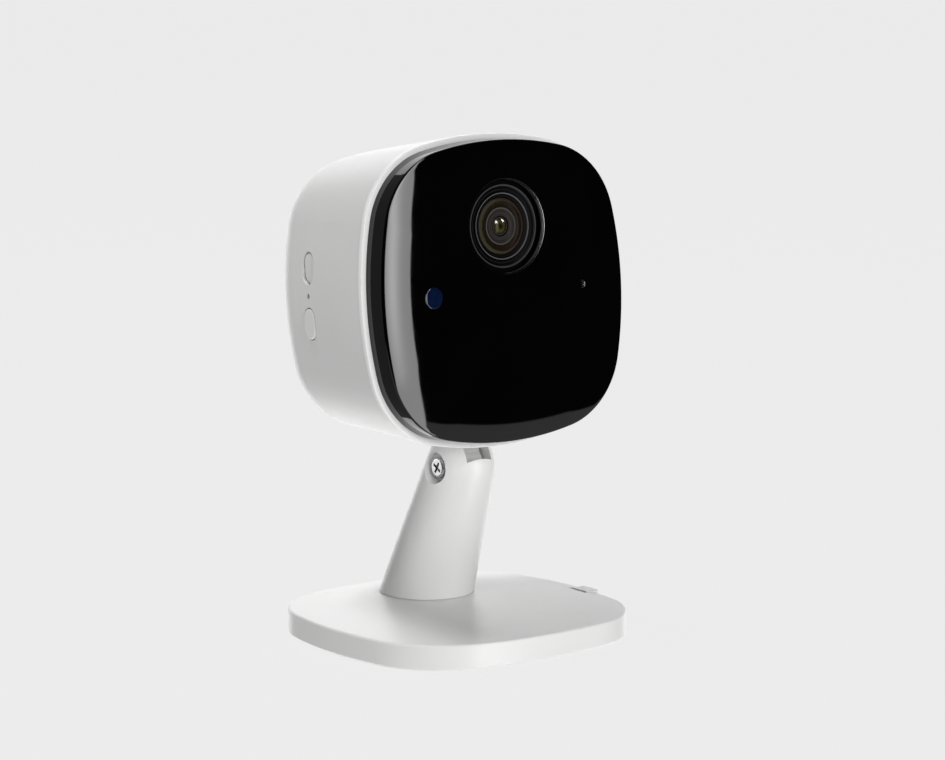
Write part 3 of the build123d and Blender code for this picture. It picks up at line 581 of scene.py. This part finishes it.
# Whiter than the housing's white plastic: the band's own white, brightened further as painted light on its
# front-facing face.
rim_white_painted_bright = moulded_plastic("rim_white_painted_bright", (0.93, 0.93, 0.925), (0.96, 0.96, 0.955), (0.25, 0.35))
belongs(rim_ring(), "head", "white_plastic", finish=rim_white_painted_bright)


# ------------------------------------------------------------------ the lens
LENS = head_frame(LENS_UP)
BLACK = (0.0015, 0.0015, 0.0016)

# Painted highlights: the faint ring at 7.1 mm and the lighter band at 7.85-8.12 mm lie on the small step and the
# rounded lip.
bezel_black_painted_highlights = rings_with_painted_light(
    "bezel_black_painted_highlights",
    [(0, BLACK), (6.9, BLACK), (7.1, (0.012, 0.012, 0.013)), (7.3, BLACK), (7.7, BLACK),
     (7.85, (0.05, 0.05, 0.052)), (8.0, (0.06, 0.06, 0.063)), (8.12, (0.006, 0.006, 0.006)), (8.3, BLACK),
     (9.1, BLACK)],
    (0.3, 0.4), gloss=0.02,
)
bezel = turned(
    "lens_bezel_rings",
    [(9.0, 3.6), (9.0, 4.5), (8.25, 4.6), (8.12, 5.2), *arc((7.97, 5.2), 0.15, 0, 180, 6), (7.78, 5.0),
     (7.35, 4.85), (7.25, 4.95), (7.1, 4.95), (7.0, 4.8), (6.5, 4.7), (6.5, 3.6)],
    LENS, closed=True,
)
belongs(crisp(bezel), "head", "black_plastic", "lens_bezel", finish=bezel_black_painted_highlights)

# Painted highlight: the light grey band at 6.34-6.45 mm lies on the rounded lip, and the faint ring at 5.9 mm on
# the small step.
barrel_black_painted_highlights = rings_with_painted_light(
    "barrel_black_painted_highlights",
    [(0, BLACK), (5.6, BLACK), (5.9, (0.006, 0.006, 0.006)), (6.1, BLACK), (6.22, BLACK),
     (6.34, (0.13, 0.13, 0.14)), (6.45, (0.11, 0.11, 0.12)), (6.5, BLACK)],
    (0.25, 0.35), gloss=0.02,
)
barrel = turned(
    "lens_barrel_shell",
    [(6.5, -6.4), (6.5, 4.95), *arc((6.4, 4.95), 0.1, 0, 180, 6), (6.25, 4.75), (5.95, 4.7), (5.9, 4.6),
     (5.6, 4.55), (5.55, 4.3), (5.55, -5.6), (3.2, -5.6), (3.2, -6.4)],
    LENS, closed=True,
)
belongs(crisp(barrel), "head", "black_plastic", "lens_barrel", finish=barrel_black_painted_highlights)

# Painted reflection: the brown band that peaks at 5.05-5.25 mm, yellower on the left and redder on the right,
# stands for light reflected by the coated glass.
stack_painted_reflection = rings_with_painted_light(
    "stack_painted_reflection",
    [(0, BLACK), (3.3, (0.004, 0.004, 0.003)), (3.7, (0.006, 0.0055, 0.004)), (4.2, (0.009, 0.008, 0.005)),
     (4.75, (0.012, 0.01, 0.007)), (5.05, (0.045, 0.038, 0.028)), (5.25, (0.05, 0.043, 0.033)),
     (5.4, (0.02, 0.017, 0.013)), (5.5, BLACK)],
    (0.2, 0.35), (1.0, 1.0, 0.8), (0.85, 0.6, 0.55), 0.04,
)
stack = turned(
    "front_spacer_cone",
    [(5.5, 0.0), (5.5, 4.55), (5.3, 4.6), *arc((4.9, 4.62), 0.25, 20, 160, 8), (4.4, 4.6), (4.0, 4.55),
     (3.65, 4.5), (3.65, 0.0)],
    LENS, closed=True,
)
belongs(crisp(stack, 50), "head", "black_plastic", "front_spacer", finish=stack_painted_reflection)

# Painted highlights and reflection: lighter rings at 1.62, 2.15 and 3.45-3.6 mm on the rounded lips, a grey band
# at 2.45-2.6 mm, and a cooler tint to the right.
inner_rings_painted_highlights = rings_with_painted_light(
    "inner_rings_painted_highlights",
    [(0, BLACK), (1.5, BLACK), (1.62, (0.05, 0.05, 0.055)), (1.74, (0.02, 0.02, 0.022)), (1.85, BLACK),
     (2.05, BLACK), (2.15, (0.07, 0.068, 0.07)), (2.25, (0.02, 0.018, 0.018)), (2.45, (0.035, 0.032, 0.03)),
     (2.6, (0.05, 0.046, 0.044)), (2.72, (0.022, 0.02, 0.019)), (3.3, (0.026, 0.023, 0.022)),
     (3.45, (0.10, 0.10, 0.10)), (3.6, (0.10, 0.10, 0.10)), (3.7, BLACK)],
    (0.2, 0.3), (1.0, 0.97, 0.97), (0.8, 0.74, 0.74), 0.04,
)
inner = turned(
    "middle_lens_stack",
    [(3.65, 3.9), (3.65, 4.5), *arc((3.53, 4.5), 0.12, 0, 180, 6), (3.3, 4.42), (2.4, 4.3),
     *arc((2.18, 4.3), 0.12, 0, 180, 6), (2.0, 4.2), (1.85, 4.18), *arc((1.65, 4.2), 0.1, 0, 180, 6),
     (1.5, 4.1), (1.4, 3.9)],
    LENS,
)
belongs(crisp(inner, 50), "head", "lens_glass", "middle_lens", finish=inner_rings_painted_highlights)

# Painted reflection: the olive ring at 0.8-1.15 mm round the dark middle stands for the coated rear element's
# reflection.
pupil_painted_reflection = rings_with_painted_light(
    "pupil_painted_reflection",
    [(0, (0.002, 0.0015, 0.001)), (0.35, (0.01, 0.008, 0.001)), (0.8, (0.045, 0.04, 0.006)),
     (1.15, (0.05, 0.045, 0.008)), (1.35, (0.01, 0.009, 0.002)), (1.5, BLACK)],
    (0.10, 0.14), gloss=0.1,
)
AXIS_GAP = 0.02


def ball_cap(ball_r, apex, half_angle, step):
    """Profile of a ball's cap, from its rim to near the axis, angles in whole degrees."""
    angles = [math.radians(a) for a in range(half_angle, 0, -step)]
    cap = [(ball_r * math.sin(a), ball_r * math.cos(a) + apex - ball_r) for a in angles]
    return [*cap, (AXIS_GAP, apex)]


pupil = turned("rear_lens_dome", [(1.75, 3.7), *ball_cap(3.9, 4.45, 26, 2)], LENS)
belongs(pupil, "head", "lens_glass", finish=pupil_painted_reflection)

front = turned("front_lens_dome", [(5.45, 3.8), *ball_cap(9.0, 5.6, 36, 3)], LENS)
belongs(front, "head", "lens_glass", "front_lens", finish=coated_front())


# ------------------------------------------------------------------ the light sensor's window
PANE_R = SENSOR_R - 0.02
PANE_EDGE_R = 0.25
window = turned(
    "light_sensor_pane",
    [(PANE_R, 2.0), (PANE_R, 6.1), *arc((PANE_R - PANE_EDGE_R, 6.1), PANE_EDGE_R, 0, 84, 8),
     (1.2, 6.38), (0.5, 6.4), (AXIS_GAP, 6.4)],
    head_frame() @ Matrix.Translation((SENSOR_X * MM, 0, 0)),
)
belongs(window, "head", "window_blue", "light_sensor_window")


# ------------------------------------------------------------------ camera
FOCAL_LENGTH = 122.4
SENSOR_WIDTH = 36.0
CAMERA_PLACE = (-0.37999, -0.50400, 0.14963)
CAMERA_TARGET = (0.00265, -0.00172, 0.05154)


def add_camera():
    """Camera in front of the object, to its left and slightly above it."""
    data = bpy.data.cameras.new("camera")
    data.lens = FOCAL_LENGTH
    data.sensor_width = SENSOR_WIDTH
    data.clip_start = 0.05
    data.clip_end = 50
    camera = bpy.data.objects.new("camera", data)
    camera.location = CAMERA_PLACE
    aim = Vector(CAMERA_TARGET) - camera.location
    camera.rotation_euler = aim.to_track_quat("-Z", "Y").to_euler()
    bpy.context.scene.collection.objects.link(camera)
    bpy.context.scene.camera = camera


add_camera()


# ------------------------------------------------------------------ studio
PALE = (0.838, 0.838, 0.838)
DOME_STRENGTH = 0.10
PANEL_LEFT, PANEL_RIGHT = (8.5, 9.5), (24.4, 25.0)
PANEL_BOTTOM, PANEL_TOP = (-62, -58), (58, 62)
PANEL_GLOW, PANEL_EXTRA = 6.4, 5.2
PANEL_BRIGHTEST, PANEL_SPREAD = 15.2, 4.0
EXTRA_BOTTOM = (-10, 2)
BELOW_EDGE, BELOW_GLOW = (-16, -15.2), 0.67
LEFT_BACK_EDGE, LEFT_BACK_GLOW = (-119, -117), 0.2
RIGHT_BACK_EDGE, RIGHT_BACK_GLOW = (98, 110), 2.1
EULER = 2.718


def world_light():
    """Pale backdrop for the camera, soft dome for diffuse light, and a tall bright panel for reflections.

    Azimuth 0 is in front of the object and grows towards +X; both angles are in degrees.
    """
    world = bpy.data.worlds.new("studio")
    bpy.context.scene.world = world
    world.use_nodes = True
    tree = world.node_tree
    tree.nodes.clear()
    links = tree.links

    def math_node(operation, a, b=None):
        node = tree.nodes.new("ShaderNodeMath")
        node.operation = operation
        for place, value in enumerate((a, b)):
            if value is None:
                continue
            if isinstance(value, (int, float)):
                node.inputs[place].default_value = value
            else:
                links.new(value, node.inputs[place])
        return node.outputs[0]

    def step_up(value, start, end):
        node = tree.nodes.new("ShaderNodeMapRange")
        node.interpolation_type = "SMOOTHSTEP"
        node.inputs["From Min"].default_value = start
        node.inputs["From Max"].default_value = end
        links.new(value, node.inputs["Value"])
        return node.outputs["Result"]

    def step_down(value, start, end):
        return math_node("SUBTRACT", 1, step_up(value, start, end))

    place = tree.nodes.new("ShaderNodeTexCoord")
    split = tree.nodes.new("ShaderNodeSeparateXYZ")
    links.new(place.outputs["Generated"], split.inputs["Vector"])
    x, y, z = split.outputs
    bearing = math_node("ARCTAN2", x, math_node("MULTIPLY", y, -1))
    azimuth = math_node("MULTIPLY", bearing, 180 / math.pi)
    elevation = math_node("MULTIPLY", math_node("ARCSINE", z), 180 / math.pi)
    inside = math_node("MULTIPLY", step_up(azimuth, *PANEL_LEFT), step_down(azimuth, *PANEL_RIGHT))
    tall = math_node("MULTIPLY", step_up(elevation, *PANEL_BOTTOM), step_down(elevation, *PANEL_TOP))
    hump = math_node("DIVIDE", math_node("ADD", azimuth, -PANEL_BRIGHTEST), PANEL_SPREAD)
    centre = math_node("POWER", EULER, math_node("MULTIPLY", math_node("MULTIPLY", hump, hump), -1))
    centre = math_node("MULTIPLY", centre, step_up(elevation, *EXTRA_BOTTOM))
    glow = math_node("ADD", PANEL_GLOW, math_node("MULTIPLY", centre, PANEL_EXTRA))
    panel = math_node("MULTIPLY", math_node("MULTIPLY", inside, tall), glow)
    below = step_down(elevation, *BELOW_EDGE)
    panel = math_node("MAXIMUM", panel, math_node("MULTIPLY", below, BELOW_GLOW))
    left_back = step_down(azimuth, *LEFT_BACK_EDGE)
    panel = math_node("MULTIPLY", panel, math_node("SUBTRACT", 1, left_back))
    panel = math_node("MAXIMUM", panel, math_node("MULTIPLY", left_back, LEFT_BACK_GLOW))
    right_back = step_up(azimuth, *RIGHT_BACK_EDGE)
    panel = math_node("MAXIMUM", panel, math_node("MULTIPLY", right_back, RIGHT_BACK_GLOW))

    rays = tree.nodes.new("ShaderNodeLightPath")
    output = tree.nodes.new("ShaderNodeOutputWorld")

    def background(strength):
        node = tree.nodes.new("ShaderNodeBackground")
        if isinstance(strength, (int, float)):
            node.inputs["Strength"].default_value = strength
        else:
            links.new(strength, node.inputs["Strength"])
        return node

    def choose(factor, a, b):
        node = tree.nodes.new("ShaderNodeMixShader")
        links.new(factor, node.inputs["Fac"])
        links.new(a.outputs[0], node.inputs[1])
        links.new(b.outputs[0], node.inputs[2])
        return node

    dome = background(DOME_STRENGTH)
    seen = background(1.0)
    seen.inputs["Color"].default_value = (*PALE, 1)
    mirrored = background(panel)
    lit = choose(rays.outputs["Is Glossy Ray"], dome, mirrored)
    final = choose(rays.outputs["Is Camera Ray"], lit, seen)
    links.new(final.outputs[0], output.inputs["Surface"])


OBJECT_MIDDLE = Vector((0, 0, 0.05))
FLOOR_HALF = 12.0
FLOOR_GLOW = 0.985


def area_light(name, azimuth, elevation, distance, size, power):
    """Softbox that looks at the object's middle and doesn't show in reflections."""
    data = bpy.data.lights.new(name, "AREA")
    data.shape = "RECTANGLE"
    data.size, data.size_y = size
    data.energy = power
    light = bpy.data.objects.new(name, data)
    a, e = math.radians(azimuth), math.radians(elevation)
    back = Vector((math.sin(a) * math.cos(e), -math.cos(a) * math.cos(e), math.sin(e)))
    light.location = OBJECT_MIDDLE + back * distance
    light.rotation_euler = (-back).to_track_quat("-Z", "Y").to_euler()
    light.visible_glossy = False
    bpy.context.scene.collection.objects.link(light)
    return light


def floor():
    """Plain pale floor that glows with the backdrop's own tone, so that hardly any shadow shows."""
    mesh = bpy.data.meshes.new("floor")
    corners = [(x * FLOOR_HALF, y * FLOOR_HALF, 0) for x, y in ((-1, -1), (1, -1), (1, 1), (-1, 1))]
    mesh.from_pydata(corners, [], [(0, 1, 2, 3)])
    ground = bpy.data.objects.new("floor", mesh)
    bpy.context.scene.collection.objects.link(ground)
    material, _, shader = new_material("floor")
    shader.inputs["Base Color"].default_value = (0.02, 0.02, 0.02, 1)
    shader.inputs["Roughness"].default_value = 0.9
    shader.inputs["Specular IOR Level"].default_value = 0.0
    shader.inputs["Emission Color"].default_value = (*PALE, 1)
    shader.inputs["Emission Strength"].default_value = FLOOR_GLOW
    mesh.materials.append(material)
    ground.visible_glossy = False


def catchlight(name, pieces, azimuth, elevation, distance, size, power):
    """Softbox that shows only as a reflection in these small glossy pieces."""
    light = area_light(name, azimuth, elevation, distance, size, power)
    light.visible_glossy = True
    light.visible_diffuse = False
    reached = bpy.data.collections.new(f"{name}_reach")
    for piece in pieces:
        reached.objects.link(piece)
    light.light_linking.receiver_collection = reached


world_light()
area_light("key", -8, 16, 0.9, (0.5, 0.5), 5.0)
area_light("overhead", -139, 71, 0.9, (0.22, 0.22), 4.3)
catchlight("edge_glint", [lens_edge, mic_edge], -58, -2, 0.7, (0.45, 1.2), 100.0)
catchlight("window_glint", [window], -58, -2, 0.7, (0.45, 1.2), 6.0)
catchlight("screw_glint", [nodes["pivot_screw"]], -142, 0, 0.7, (0.3, 0.3), 0.7)
catchlight("pupil_left", [pupil], 13, 27, 0.6, (0.13, 0.13), 7.0)
catchlight("pupil_right", [pupil], 66, 24, 0.6, (0.13, 0.13), 8.0)
floor()
bpy.context.scene.view_settings.view_transform = "Standard"
